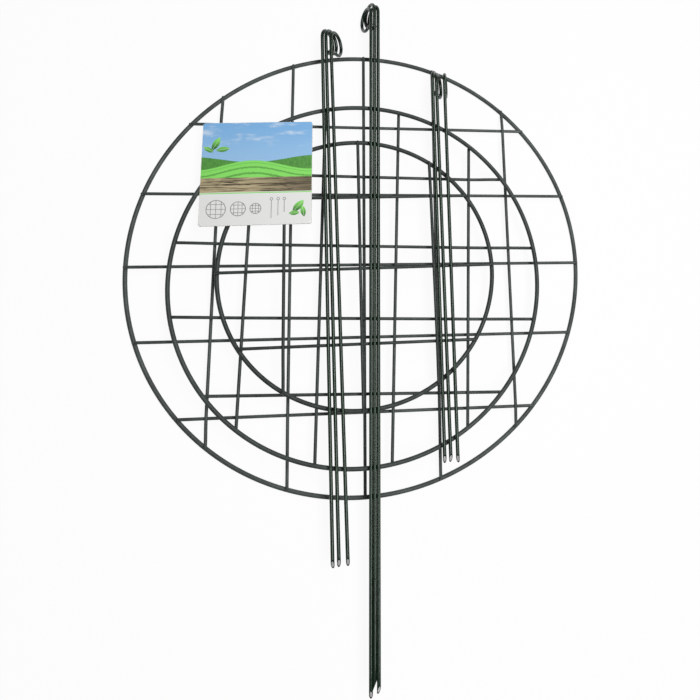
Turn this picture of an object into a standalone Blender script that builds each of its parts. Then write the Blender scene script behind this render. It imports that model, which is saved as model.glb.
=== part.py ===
"""Wire plant support set, laid flat: three round grid hoops, nine legs with an eye each, and a label card.

The large hoop lies on the ground, the medium hoop lies on it upside down, and the small hoop lies on that.
The legs lie on the small hoop in three bundles of three, with their eyes hanging down beside the large rim.
X runs to the right, Y towards the eyes and Z up. The origin is on the ground under the middle of the set.
"""

from math import asin, atan2, cos, pi, radians, sin, sqrt, tan

import bmesh
import bpy
from mathutils import Matrix, Vector

# Wires, as coated diameters
RIM_DIAMETER = 0.0045
GRID_WIRE_DIAMETER = 0.0032
LEG_DIAMETER = 0.0035
LEG_BORE_DIAMETER = 0.0028
CORE_CLEARANCE = 0.0002
CONTACT_GAP = 0.0003
WIRE_SIDES = 8
SAME_POINT = 1e-6

# Hoops: outer diameters, the mesh of their grids and the pieces of a rim and of a bend
LARGE_DIAMETER = 0.5000
MEDIUM_DIAMETER = 0.4000
SMALL_DIAMETER = 0.3000
GRID_PITCH = 0.0800
RIM_STEP = 0.0205
RAMP_STEPS = 4

# Where the hoops lie: the centres from the large hoop's centre, the turns, and each grid's shift in its rim
MEDIUM_CENTRE = (-0.0013, -0.0197)
SMALL_CENTRE = (-0.0025, -0.0119)
MEDIUM_TURN = radians(-1.35)
SMALL_TURN = radians(1.28)
LARGE_GRID_SHIFT = (0.0039, -0.0016)
MEDIUM_GRID_SHIFT = (-0.0006, -0.0025)
SMALL_GRID_SHIFT = (0.0021, 0.0025)

# Each grid's rows from the lowest up and columns from the left: how far a wire lies off the even mesh
LARGE_ROWS_OFF = (0.0003, -0.0004, -0.0004, 0.0, 0.0009)
LARGE_COLUMNS_OFF = (0.0003, -0.0001, -0.0001, 0.0, 0.0030)
MEDIUM_ROWS_OFF = (0.0, -0.0001, 0.0, 0.0)
MEDIUM_COLUMNS_OFF = (0.0005, -0.0011, -0.0001, 0.0005)
SMALL_ROWS_OFF = (-0.0012, 0.0, 0.0)
SMALL_COLUMNS_OFF = (0.0, 0.0004, 0.0)

# How far each of these wires leans, in degrees. A leaning wire's right or upper end lies further up or right
LARGE_ROWS_LEAN = (0.09, 0.06, 0.09, -0.03, -0.23)
LARGE_COLUMNS_LEAN = (0.26, -0.40, -0.23, 0.0, -0.20)
MEDIUM_ROWS_LEAN = (0.20, -0.09, 0.17, 0.34)
MEDIUM_COLUMNS_LEAN = (0.09, -0.40, 0.23, 0.69)
SMALL_ROWS_LEAN = (-0.31, 0.06, 0.0)
SMALL_COLUMNS_LEAN = (0.43, 0.0, 0.0)

# The wires end over the middle of their rim, and the large hoop's rows are slid along it to the right
LARGE_ROW_SLIDE = 0.0013
MEDIUM_ROW_SLIDE = 0.0
SMALL_ROW_SLIDE = 0.0

# Legs: overall lengths, the eye at the upper end with the straight start of its coat, and the cut at the tip
LONG_LENGTH = 0.7342
MEDIUM_LENGTH = 0.5856
SHORT_LENGTH = 0.4438
EYE_INNER_DIAMETER = 0.0235
EYE_TURN = radians(290)
EYE_STEPS = 14
EYE_LEAD = 0.0035
TIP_CUT_LENGTH = 0.0080
GROUND_CLEARANCE = 0.0002
SHARP_EDGE = radians(50)

# How much shorter than that each leg of a bundle is, and how far down its bundle it has slid
LONG_SHORTER = (0.0, 0.0016, 0.0002)
LONG_SLID = (0.0057, 0.0, 0.0024)
MEDIUM_SHORTER = (0.0, 0.0008, 0.0031)
MEDIUM_SLID = (0.0, 0.0, 0.0020)
SHORT_SHORTER = (0.0, 0.0043, 0.0023)
SHORT_SLID = (0.0, 0.0035, 0.0024)

# Where the long and the medium bundle lie: their first legs, to the right of the set's middle
LONG_EYE_X = 0.0120
LONG_TIP_X = 0.0103
MEDIUM_EYE_X = -0.0439
MEDIUM_TIP_X = -0.0266

# The short bundle lies right of the small hoop's last column: at the lowest crossing and at the eye
SHORT_SIDE_GAP = 0.0005
SHORT_EYE_OFFSET = 0.0079

# Room between neighbouring legs where they don't touch, at the eyes and at the tips
MEDIUM_EYE_ROOM = (0.0, 0.0014)
MEDIUM_TIP_ROOM = (0.0023, 0.0049)
SHORT_EYE_ROOM = (0.0004, 0.0055)
SHORT_TIP_ROOM = (0.0026, 0.0035)

# How far each bundle's highest eye stands beyond the large rim, from the rim's outer edge to the eye's centre
LONG_EYE_REACH = 0.0474
MEDIUM_EYE_REACH = 0.0149
SHORT_EYE_REACH = -0.0230

# How the eyes of each bundle hang, measured down from level
LONG_HANG = radians(66)
MEDIUM_HANG = radians(66)
SHORT_HANG = radians(73)
SHORT_OUTER_HANG = radians(80)

# Which way each tip's slanted cut looks, seen along the leg
LONG_FACINGS = (radians(90), radians(10), radians(60))
MEDIUM_FACINGS = (radians(100), radians(80), radians(90))
SHORT_FACINGS = (radians(90), radians(70), radians(110))

# Label card: it leans on the small grid's upper left crossing and on the medium rim
CARD_WIDTH = 0.1185
CARD_HEIGHT = 0.1190
CARD_THICKNESS = 0.0008
CARD_CORNER_RADIUS = 0.0020
CARD_CORNER_STEPS = 4
CARD_CENTRE_FROM_CROSSING = (-0.0301, 0.0282)
CARD_TURN = radians(0.7)

# Colours and roughness
COAT_GREEN = (0.0110, 0.0260, 0.0160)
STEEL_GREY = (0.5200, 0.5400, 0.5400)
CARD_WHITE = (0.7800, 0.7900, 0.7700)
COAT_ROUGHNESS = 0.38
STEEL_ROUGHNESS = 0.35
CARD_ROUGHNESS = 0.55

# Heights of the stacked wires, from the ground up
GRID_RADIUS = GRID_WIRE_DIAMETER / 2
RIM_RADIUS = RIM_DIAMETER / 2
LEG_RADIUS = LEG_DIAMETER / 2
WIRE_RISE = GRID_WIRE_DIAMETER + CONTACT_GAP
RIM_TO_WIRE = RIM_RADIUS + CONTACT_GAP + GRID_RADIUS
LARGE_RIM_Z = RIM_RADIUS
LARGE_NEAR_Z = LARGE_RIM_Z + RIM_TO_WIRE
LARGE_FAR_Z = LARGE_NEAR_Z + WIRE_RISE
MEDIUM_FAR_Z = LARGE_FAR_Z + WIRE_RISE
MEDIUM_NEAR_Z = MEDIUM_FAR_Z + WIRE_RISE
MEDIUM_RIM_Z = MEDIUM_NEAR_Z + RIM_TO_WIRE
SMALL_RIM_Z = MEDIUM_NEAR_Z + RIM_TO_WIRE
SMALL_NEAR_Z = SMALL_RIM_Z + RIM_TO_WIRE
SMALL_FAR_Z = SMALL_NEAR_Z + WIRE_RISE
LEG_Z = SMALL_NEAR_Z + GRID_RADIUS + CONTACT_GAP + LEG_RADIUS

# The eye's centreline, and how a straight leg and its eye share the overall length
EYE_RADIUS = (EYE_INNER_DIAMETER + LEG_DIAMETER) / 2
EYE_TOP = EYE_RADIUS + LEG_RADIUS
TOUCHING_PITCH = LEG_DIAMETER + CONTACT_GAP

# The set's middle in Y lies halfway between the highest eye and the lowest tip of the long legs
LONG_TOP_FROM_HOOP = sqrt(LARGE_DIAMETER ** 2 / 4 - LONG_EYE_X ** 2) + LONG_EYE_REACH + EYE_TOP
HIGHEST_EYE = -min(LONG_SLID)
LOWEST_TIP = max(slid - shorter for slid, shorter in zip(LONG_SLID, LONG_SHORTER)) + LONG_LENGTH
LARGE_CENTRE_Y = (LOWEST_TIP - HIGHEST_EYE) / 2 - LONG_TOP_FROM_HOOP


def clear_scene():
    for item in list(bpy.data.objects):
        bpy.data.objects.remove(item, do_unlink=True)


def new_collection(name):
    collection = bpy.data.collections.new(name)
    bpy.context.scene.collection.children.link(collection)
    return collection


def new_material(name, colour, roughness, metallic):
    material = bpy.data.materials.new(name)
    material.use_nodes = True
    shader = material.node_tree.nodes["Principled BSDF"]
    shader.inputs["Base Color"].default_value = (*colour, 1.0)
    shader.inputs["Roughness"].default_value = roughness
    shader.inputs["Metallic"].default_value = metallic
    return material


def new_empty(collection, name, location, turn):
    empty = bpy.data.objects.new(name, None)
    empty.location = location
    empty.rotation_euler = (0.0, 0.0, turn)
    collection.objects.link(empty)
    return empty


def wire_curve(collection, name, points, radius, closed=False):
    """A round wire along the points. Its flats are a radius from the middle, and two of them are level."""
    curve = bpy.data.curves.new(name, "CURVE")
    curve.dimensions = "3D"
    curve.twist_mode = "Z_UP"
    curve.bevel_depth = radius / cos(pi / WIRE_SIDES)
    curve.bevel_resolution = WIRE_SIDES // 2 - 2
    curve.use_fill_caps = not closed
    spline = curve.splines.new("POLY")
    spline.points.add(len(points) - 1)
    for target, point in zip(spline.points, points):
        target.co = (*point, 1.0)
        target.tilt = pi / WIRE_SIDES
    spline.use_cyclic_u = closed
    wire = bpy.data.objects.new(name, curve)
    collection.objects.link(wire)
    return wire


def as_mesh(curve_object):
    """The curve made a mesh with its caps welded on. The curve itself is removed."""
    depsgraph = bpy.context.evaluated_depsgraph_get()
    mesh = bpy.data.meshes.new_from_object(curve_object.evaluated_get(depsgraph))
    bm = bmesh.new()
    bm.from_mesh(mesh)
    bmesh.ops.remove_doubles(bm, verts=bm.verts, dist=SAME_POINT)
    bmesh.ops.recalc_face_normals(bm, faces=bm.faces)
    bm.to_mesh(mesh)
    bm.free()
    name = curve_object.name
    collection = curve_object.users_collection[0]
    bpy.data.objects.remove(curve_object, do_unlink=True)
    solid = bpy.data.objects.new(name, mesh)
    collection.objects.link(solid)
    return solid


def hold(piece, parent, material):
    piece.parent = parent
    piece.data.materials.clear()
    piece.data.materials.append(material)
    return piece


def rim_points(radius, height):
    count = 4 * round(2 * pi * radius / RIM_STEP / 4)
    turns = [2 * pi * step / count for step in range(count)]
    return [(radius * cos(turn), radius * sin(turn), height) for turn in turns]


def grid_lines(shift, offs, leans):
    """Each wire of one direction as its place at the middle of its length and its slope."""
    middle = (len(offs) - 1) / 2
    places = [(index - middle) * GRID_PITCH + shift + off for index, off in enumerate(offs)]
    return [(place, tan(radians(lean))) for place, lean in zip(places, leans)]


def half_chord(radius, offset):
    return sqrt(radius * radius - offset * offset)


def reach_of_line(radius, place, slope, side):
    """Distance along a line, from the middle of its length, to where it crosses a circle on one side."""
    lean = place * slope
    steep = 1 + slope * slope
    return (sqrt(lean * lean + steep * (radius * radius - place * place)) - side * lean) / steep


def bent_profile(rim_radius, place, slope, others, near_z, far_z):
    """Distance along a wire and its height: level over the wires it crosses, and bent to the rim at both ends."""
    profile = []
    for side in (-1, 1):
        end = reach_of_line(rim_radius, place, slope, side)
        over_rim = reach_of_line(rim_radius - RIM_DIAMETER, place, slope, side)
        crossings = [side * (other + other_slope * place) for other, other_slope in others]
        level = max(crossing for crossing in crossings if crossing + GRID_WIRE_DIAMETER < over_rim)
        level += GRID_WIRE_DIAMETER
        half = []
        for step in range(RAMP_STEPS + 1):
            share = step / RAMP_STEPS
            height = far_z + (near_z - far_z) * (0.5 - 0.5 * cos(pi * share))
            half.append((side * (level + (over_rim - level) * share), height))
        half.append((side * end, near_z))
        profile.append(half)
    return profile[0][::-1] + profile[1]


def make_hoop(collection, label, diameter, rows, columns, row_slide, rim_z, near_z, far_z, rows_are_near,
              parent, coat):
    """A rim with two sets of grid wires: the near set lies on the rim, and the far set crosses over it."""
    rim_radius = diameter / 2 - RIM_RADIUS
    rim = wire_curve(collection, label + "_rim", rim_points(rim_radius, rim_z), RIM_RADIUS, closed=True)
    hold(rim, parent, coat)
    for name, lines, others, near in (
        ("row_wire", rows, columns, rows_are_near),
        ("column_wire", columns, rows, not rows_are_near),
    ):
        for number, (place, slope) in enumerate(lines, start=1):
            if near:
                profile = [(side * reach_of_line(rim_radius, place, slope, side), near_z) for side in (-1, 1)]
            else:
                profile = bent_profile(rim_radius, place, slope, others, near_z, far_z)
            if name == "row_wire":
                points = [(along + row_slide, place + slope * along, height) for along, height in profile]
            else:
                points = [(place + slope * along, along, height) for along, height in profile]
            wire = wire_curve(collection, f"{label}_{name}_{number}", points, GRID_RADIUS)
            hold(wire, parent, coat)


def make_hoops(collection, coat):
    large = new_empty(collection, "large_hoop_place", (0.0, LARGE_CENTRE_Y, 0.0), 0.0)
    medium = new_empty(collection, "medium_hoop_place", from_large(MEDIUM_CENTRE), MEDIUM_TURN)
    small = new_empty(collection, "small_hoop_place", from_large(SMALL_CENTRE), SMALL_TURN)
    large_rows = grid_lines(LARGE_GRID_SHIFT[1], LARGE_ROWS_OFF, LARGE_ROWS_LEAN)
    large_columns = grid_lines(LARGE_GRID_SHIFT[0], LARGE_COLUMNS_OFF, LARGE_COLUMNS_LEAN)
    medium_rows = grid_lines(MEDIUM_GRID_SHIFT[1], MEDIUM_ROWS_OFF, MEDIUM_ROWS_LEAN)
    medium_columns = grid_lines(MEDIUM_GRID_SHIFT[0], MEDIUM_COLUMNS_OFF, MEDIUM_COLUMNS_LEAN)
    make_hoop(collection, "large", LARGE_DIAMETER, large_rows, large_columns, LARGE_ROW_SLIDE, LARGE_RIM_Z,
              LARGE_NEAR_Z, LARGE_FAR_Z, True, large, coat)
    make_hoop(collection, "medium", MEDIUM_DIAMETER, medium_rows, medium_columns, MEDIUM_ROW_SLIDE,
              MEDIUM_RIM_Z, MEDIUM_NEAR_Z, MEDIUM_FAR_Z, False, medium, coat)
    make_hoop(collection, "small", SMALL_DIAMETER, *small_lines(), SMALL_ROW_SLIDE, SMALL_RIM_Z,
              SMALL_NEAR_Z, SMALL_FAR_Z, True, small, coat)


def small_lines():
    return (grid_lines(SMALL_GRID_SHIFT[1], SMALL_ROWS_OFF, SMALL_ROWS_LEAN),
            grid_lines(SMALL_GRID_SHIFT[0], SMALL_COLUMNS_OFF, SMALL_COLUMNS_LEAN))


def from_large(centre):
    return (centre[0], LARGE_CENTRE_Y + centre[1], 0.0)


def small_crossing(row, column):
    """Where a row and a column of the small hoop cross: 0 is the lowest or leftmost, and -1 the last."""
    rows, columns = small_lines()
    row_place, row_slope = rows[row]
    column_place, column_slope = columns[column]
    x = (column_place + column_slope * row_place) / (1 - column_slope * row_slope)
    y = row_place + row_slope * x
    turned = Matrix.Rotation(SMALL_TURN, 2) @ Vector((x, y))
    return turned + Vector(from_large(SMALL_CENTRE)[:2])


def hang_angle(chosen):
    """The chosen angle, or less where the eye would reach the ground first."""
    reach = LEG_Z - LEG_RADIUS - GROUND_CLEARANCE
    return min(chosen, asin(min(1.0, reach / (2 * EYE_RADIUS))))


def shaft_end(length):
    """How far from the tip the straight shaft turns into the eye."""
    return length - EYE_TOP


def eye_points(length, hang, side):
    """The centreline of an eye's round turn, from the shaft round to its free end."""
    down = Vector((side * cos(hang), 0.0, -sin(hang)))
    along = Vector((0.0, 1.0, 0.0))
    centre = along * shaft_end(length) + down * EYE_RADIUS
    turns = [EYE_TURN * step / EYE_STEPS for step in range(EYE_STEPS + 1)]
    return [centre - down * EYE_RADIUS * cos(turn) + along * EYE_RADIUS * sin(turn) for turn in turns]


def leg_wire(collection, name, points, diameter):
    wire = wire_curve(collection, name, points, diameter / 2)
    wire.data.twist_mode = "MINIMUM"
    wire.data.bevel_depth = diameter / 2
    return as_mesh(wire)


def cut_tip(solid, facing):
    """Slant the end of the leg at its tip. The cut's open face looks the way that facing points."""
    away = Vector((cos(facing), 0.0, sin(facing)))
    slope = TIP_CUT_LENGTH / LEG_DIAMETER
    for vertex in solid.data.vertices:
        if vertex.co.y < LEG_RADIUS:
            vertex.co.y += slope * (vertex.co.dot(away) + LEG_RADIUS)


def make_leg(parts, cutters, label, length, hang, side, place, turn, facing, coat, steel):
    """One leg: a steel wire in a plastic coat that is open at the cut tip and at the eye's end.

    The coat is two pieces, a straight sleeve and the eye's, so that each is a simple shape.
    """
    parent = new_empty(parts, label + "_place", place, turn)
    along = Vector((0.0, 1.0, 0.0))
    tip = Vector()
    eye = eye_points(length, hang, side)
    seam = along * (shaft_end(length) - EYE_LEAD)
    run_out = (eye[-1] - eye[-2]).normalized() * LEG_DIAMETER
    bore_points = [tip - along * TIP_CUT_LENGTH, *eye[:-1], eye[-1] + run_out]
    bore = leg_wire(cutters, label + "_bore", bore_points, LEG_BORE_DIAMETER)
    hold(bore, parent, steel)
    bore.hide_render = True
    bore.display_type = "WIRE"
    sleeve = leg_wire(parts, label + "_coat", [tip, seam - along * CONTACT_GAP], LEG_DIAMETER)
    eye_coat = leg_wire(parts, label + "_eye_coat", [seam, *eye], LEG_DIAMETER)
    core_diameter = LEG_BORE_DIAMETER - 2 * CORE_CLEARANCE
    core = leg_wire(parts, label + "_core", [tip, *eye], core_diameter)
    cut_tip(sleeve, facing)
    cut_tip(core, facing)
    for piece in (sleeve, eye_coat):
        cut = piece.modifiers.new("bore", "BOOLEAN")
        cut.operation = "DIFFERENCE"
        cut.solver = "EXACT"
        cut.object = bore
        hold(piece, parent, coat)
    hold(core, parent, steel)
    for piece in (sleeve, eye_coat, core):
        piece.data.shade_smooth()
        piece.data.set_sharp_from_angle(angle=SHARP_EDGE)


def nest(first, pitch, rooms):
    """Places of three legs: the pitch at which they touch, and the room that a leg has beyond it."""
    second = first + pitch + rooms[0]
    return (first, second, second + pitch + rooms[1])


def eye_height(eye_x, reach):
    return LARGE_CENTRE_Y + half_chord(LARGE_DIAMETER / 2, eye_x) + reach


def make_bundle(parts, cutters, label, length, shorter, slid, hangs, side, eye_places, tip_places, reach,
                facings, coat, steel):
    """Three legs side by side. Each runs straight from its tip's place to its eye's place."""
    for number in range(len(shorter)):
        own_length = length - shorter[number]
        eye_y = eye_height(eye_places[0], reach) - slid[number]
        tip_y = eye_y + EYE_TOP - own_length
        lean = atan2(tip_places[number] - eye_places[number], eye_y - tip_y)
        place = (tip_places[number], tip_y, LEG_Z)
        name = f"{label}_leg_{number + 1}"
        make_leg(parts, cutters, name, own_length, hangs[number], side, place, lean, facings[number],
                 coat, steel)


def make_legs(parts, cutters, coat, steel):
    none = (0.0, 0.0)
    hang = hang_angle(LONG_HANG)
    make_bundle(parts, cutters, "long", LONG_LENGTH, LONG_SHORTER, LONG_SLID, (hang, hang, hang), -1,
                nest(LONG_EYE_X, TOUCHING_PITCH / sin(hang), none),
                nest(LONG_TIP_X, TOUCHING_PITCH, none),
                LONG_EYE_REACH, LONG_FACINGS, coat, steel)

    hang = hang_angle(MEDIUM_HANG)
    make_bundle(parts, cutters, "medium", MEDIUM_LENGTH, MEDIUM_SHORTER, MEDIUM_SLID, (hang, hang, hang), 1,
                nest(MEDIUM_EYE_X, TOUCHING_PITCH / sin(hang), MEDIUM_EYE_ROOM),
                nest(MEDIUM_TIP_X, TOUCHING_PITCH, MEDIUM_TIP_ROOM),
                MEDIUM_EYE_REACH, MEDIUM_FACINGS, coat, steel)

    hang = hang_angle(SHORT_HANG)
    outer = hang_angle(SHORT_OUTER_HANG)
    lowest = small_crossing(0, -1)
    highest = small_crossing(-1, -1)
    passing_x = lowest.x + GRID_RADIUS + SHORT_SIDE_GAP + LEG_RADIUS
    eye_y = eye_height(passing_x, SHORT_EYE_REACH)
    wire_slope = (highest.x - lowest.x) / (highest.y - lowest.y)
    eye_x = lowest.x + wire_slope * (eye_y - lowest.y) + SHORT_EYE_OFFSET
    leg_slope = (eye_x - passing_x) / (eye_y - lowest.y)
    tip_x = eye_x - leg_slope * SHORT_LENGTH
    make_bundle(parts, cutters, "short", SHORT_LENGTH, SHORT_SHORTER, SHORT_SLID, (hang, hang, outer), 1,
                nest(eye_x, TOUCHING_PITCH / sin(hang), SHORT_EYE_ROOM),
                nest(tip_x, TOUCHING_PITCH, SHORT_TIP_ROOM),
                SHORT_EYE_REACH, SHORT_FACINGS, coat, steel)


def card_rest(centre):
    """The card's lean: a plane over the small grid's upper left crossing that also touches the medium rim."""
    crossing = small_crossing(-1, 0)
    high = SMALL_FAR_Z + GRID_RADIUS + CONTACT_GAP
    low = MEDIUM_RIM_Z + RIM_RADIUS + CONTACT_GAP
    rim_centre = Vector(from_large(MEDIUM_CENTRE)[:2])
    rim_radius = MEDIUM_DIAMETER / 2 - RIM_RADIUS
    heading = (centre - crossing).normalized()
    start = crossing - rim_centre
    ahead = start.dot(heading)
    distance = sqrt(ahead * ahead + rim_radius * rim_radius - start.length_squared) - ahead
    outward = (start + heading * distance).normalized()
    slope = (high - low) / (distance * outward.dot(heading))
    normal = Vector((outward.x * slope, outward.y * slope, 1.0)).normalized()
    height = high - slope * outward.dot(centre - crossing)
    return normal, height


def make_card(parts, paper):
    """A flat card with round corners, drawn as an outline and given its thickness."""
    outline = []
    for quarter in range(4):
        corner = Vector((CARD_WIDTH / 2 - CARD_CORNER_RADIUS, CARD_HEIGHT / 2 - CARD_CORNER_RADIUS))
        corner.x *= (1, -1, -1, 1)[quarter]
        corner.y *= (1, 1, -1, -1)[quarter]
        for step in range(CARD_CORNER_STEPS + 1):
            turn = pi / 2 * (quarter + step / CARD_CORNER_STEPS)
            outline.append(corner + CARD_CORNER_RADIUS * Vector((cos(turn), sin(turn))))
    curve = bpy.data.curves.new("label_card", "CURVE")
    curve.dimensions = "2D"
    curve.fill_mode = "BOTH"
    curve.extrude = CARD_THICKNESS / 2
    spline = curve.splines.new("POLY")
    spline.points.add(len(outline) - 1)
    for target, point in zip(spline.points, outline):
        target.co = (point.x, point.y, 0.0, 1.0)
    spline.use_cyclic_u = True
    card = bpy.data.objects.new("label_card", curve)
    parts.objects.link(card)
    card.data.materials.append(paper)
    centre = small_crossing(-1, 0) + Vector(CARD_CENTRE_FROM_CROSSING)
    normal, height = card_rest(centre)
    lean = Vector((0.0, 0.0, 1.0)).rotation_difference(normal).to_matrix().to_4x4()
    seat = Vector((centre.x, centre.y, height)) + normal * CARD_THICKNESS / 2
    card.matrix_world = Matrix.Translation(seat) @ lean @ Matrix.Rotation(CARD_TURN, 4, "Z")


def main():
    clear_scene()
    parts = new_collection("plant_support_frame")
    cutters = new_collection("cutters")
    coat = new_material("green_coat", COAT_GREEN, COAT_ROUGHNESS, 0.0)
    steel = new_material("bare_steel", STEEL_GREY, STEEL_ROUGHNESS, 1.0)
    paper = new_material("printed_card", CARD_WHITE, CARD_ROUGHNESS, 0.0)
    make_hoops(parts, coat)
    make_legs(parts, cutters, coat, steel)
    make_card(parts, paper)


main()
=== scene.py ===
"""Finishes a laid-out plant support set: coated wire hoops, eyed legs with cut tips and a label card."""

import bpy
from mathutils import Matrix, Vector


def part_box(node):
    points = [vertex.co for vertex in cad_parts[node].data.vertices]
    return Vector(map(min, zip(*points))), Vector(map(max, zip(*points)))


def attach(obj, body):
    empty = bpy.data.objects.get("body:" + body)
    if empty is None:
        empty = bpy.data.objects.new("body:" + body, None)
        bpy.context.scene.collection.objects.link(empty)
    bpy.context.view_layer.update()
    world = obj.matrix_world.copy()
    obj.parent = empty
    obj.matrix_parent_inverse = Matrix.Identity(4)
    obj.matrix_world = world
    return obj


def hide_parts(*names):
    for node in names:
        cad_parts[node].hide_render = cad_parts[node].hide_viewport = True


bl_info = {
    "name": "Plant Support Set Finish",
    "version": (1, 0, 0),
    "blender": (4, 5, 0),
    "location": "View3D > Sidebar > Plant Supports",
    "description": "Makes the coated wires, welds, cut tips and label card of a set of plant supports",
    "category": "Object",
}

from functools import reduce
from math import atan2, pi, radians, sqrt

import bpy
import numpy as np
from bpy.props import FloatProperty, FloatVectorProperty, PointerProperty

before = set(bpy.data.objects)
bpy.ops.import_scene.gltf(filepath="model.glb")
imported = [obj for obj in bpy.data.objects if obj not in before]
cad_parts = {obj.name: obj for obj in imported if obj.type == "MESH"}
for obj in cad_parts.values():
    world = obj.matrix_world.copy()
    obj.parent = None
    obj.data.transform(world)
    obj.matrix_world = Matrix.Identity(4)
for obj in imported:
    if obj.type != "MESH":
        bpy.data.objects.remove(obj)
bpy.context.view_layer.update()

HOOPS = ("large", "medium", "small")
BUNDLES = ("long", "medium", "short")
WHITE = (1.0, 1.0, 1.0, 1.0)

# Faces round each kind of wire, and steps along its route
WIRE_SIDES = 20
RIM_SIDES = 24
WELD_SIDES = 16
RIM_STEPS = 240
EYE_STEPS = 73
SHAFT_STEPS = 40
ROUTE_STEP = 0.004

# The coat's lip at both ends of a leg, in metres, and the shares of it that are rounded
LIP = 0.00018
LIP_ROUND = LIP * 0.3
LIP_LEAD = LIP * 1.6

# In metres: how deep the coat's bore is drawn at both ends, and where the steel's three rings are in it
EYE_BORE = 0.0009
TIP_BORE = 0.0012
EYE_STEEL = np.array([-0.0016, -0.00006, 0.00004])
TIP_STEEL = np.array([-0.0020, -0.00008, 0.00005])
STEEL_WIDTHS = np.array([1.0, 1.0, 0.93])
STEEL_CLEARANCE = 0.00002

# The card's round corners, its bow and its softened edge, in metres, and the rings of its two flat sides
CARD_CORNER = 0.0022
CARD_BOW = 0.00012
CARD_EDGE = 0.00012
CARD_RINGS = (0.04, 0.3, 0.6, 0.85, 0.96)

# Corners of the CAD steel at a leg's tip
TIP_CORNERS = 8

# How the two coatings differ: dust, rub marks, gloss, the gloss's tint and the height of the orange peel
HOOP_COATING = {"dust_amount": 0.12, "rub_amount": 0.5, "gleam": 0.5, "tint": WHITE, "relief": 0.14}
LEG_COATING = {"dust_amount": 0.02, "rub_amount": 0.16, "gleam": 0.65, "tint": (0.84, 1.0, 0.90, 1.0),
               "relief": 0.05}

# The floor, and where each lamp hangs and how large it is, in metres
FLOOR_CELLS = 8
FLOOR_REACH = 4.0
FLOOR_LEVEL = -0.0004
FLOOR_GLOW = 0.93
KEY_LAMP = {"place": (0.40, 0.10, 1.25), "width": 0.42, "length": 1.8}
FILL_LAMP = {"place": (-0.90, -0.50, 1.30), "width": 1.2, "length": 1.2}


def node_height(node):
    low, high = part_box(node)
    return high.z - low.z


# Thicknesses of the CAD wires, and what is added so that pieces that touch look as if they do
RIM_THICKNESS = node_height("large_rim")
GRID_THICKNESS = node_height("large_row_wire_1")
LEG_THICKNESS = 0.0035
CONTACT_FILL = 0.00025
LEG_FILL = 0.00010


def length_setting(name, description, default, least=0.0):
    return FloatProperty(name=name, description=description, default=default, unit="LENGTH", min=least)


def share_setting(name, description, default, least=0.0, most=1.0):
    return FloatProperty(name=name, description=description, default=default, min=least, max=most)


def colour_setting(name, description, *channels):
    return FloatVectorProperty(
        name=name, description=description, subtype="COLOR", size=4, default=(*channels, 1.0))


class PlantSupportSizes(bpy.types.PropertyGroup):
    """Sizes of the wires and of the coating on them."""

    rim_diameter: length_setting("Rim", "Thickness of a hoop's rim", RIM_THICKNESS + CONTACT_FILL, 0.001)
    grid_diameter: length_setting("Grid", "Thickness of a grid wire", GRID_THICKNESS + CONTACT_FILL, 0.001)
    leg_diameter: length_setting("Leg", "Thickness of a leg", LEG_THICKNESS + CONTACT_FILL + LEG_FILL, 0.001)
    steel_diameter: length_setting("Leg Steel", "Thickness of the steel wire in a leg", 0.0025, 0.0005)
    cad_steel_diameter: length_setting(
        "Measured Steel", "Thickness of the CAD wire that a leg's place is measured on", 0.0024, 0.0005)
    eye_turn: FloatProperty(
        name="Eye Turn", description="How far a leg's eye is bent", default=radians(290), unit="ROTATION")
    eye_inset: length_setting(
        "Eye Inset", "How much smaller an eye's centreline is than the measured one", 0.00032)
    tip_inset: length_setting("Tip Inset", "How far a tip stays inside the measured one", 0.00058)
    weld_swell: share_setting(
        "Weld Swell", "Width of the coating's knuckle where grid wires cross, as a share of theirs",
        1.2, 1.0, 1.6)
    rim_swell: share_setting(
        "Rim Swell", "Width of the coating's knuckle on the rim, as a share of the grid wire's",
        1.05, 1.0, 1.6)
    end_round: share_setting(
        "End Round", "Depth of a wire end's rounding, as a share of its radius", 0.8, 0.2)


class PlantSupportFinishes(bpy.types.PropertyGroup):
    """Colours and gloss of the coating and the steel."""

    large_green: colour_setting("Large Hoop", "Coating of the large hoop", 0.0400, 0.0520, 0.0485)
    medium_green: colour_setting("Medium Hoop", "Coating of the medium hoop", 0.0255, 0.0360, 0.0325)
    small_green: colour_setting("Small Hoop", "Coating of the small hoop", 0.0140, 0.0225, 0.0190)
    leg_green: colour_setting("Legs", "Coating of the legs", 0.0036, 0.0128, 0.0054)
    dust: colour_setting("Dust", "Fine dust that lies on the coating", 0.2100, 0.2200, 0.1950)
    steel: colour_setting("Steel", "Freshly cut steel wire", 0.7800, 0.7900, 0.7800)
    hoop_roughness: share_setting("Hoop Roughness", "Roughness of the hoops' clean coating", 0.50)
    leg_roughness: share_setting("Leg Roughness", "Roughness of the legs' clean coating", 0.20)


class PlantSupportPrint(bpy.types.PropertyGroup):
    """Colours of the label card's print."""

    sky: colour_setting("Sky", "Blue panel", 0.2230, 0.4850, 0.8310)
    meadow: colour_setting("Meadow", "Bright green field", 0.2600, 0.7900, 0.1400)
    leaf: colour_setting("Leaf", "Dark green leaves and furrows", 0.0180, 0.1350, 0.0190)
    plank: colour_setting("Plank", "Light wood", 0.5400, 0.4500, 0.2700)
    bark: colour_setting("Bark", "Dark wood", 0.0560, 0.0400, 0.0210)
    paper: colour_setting("Paper", "Pale ground of the card", 0.8460, 0.8500, 0.8300)
    ink: colour_setting("Ink", "Grey line drawing", 0.0900, 0.0970, 0.0970)


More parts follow.
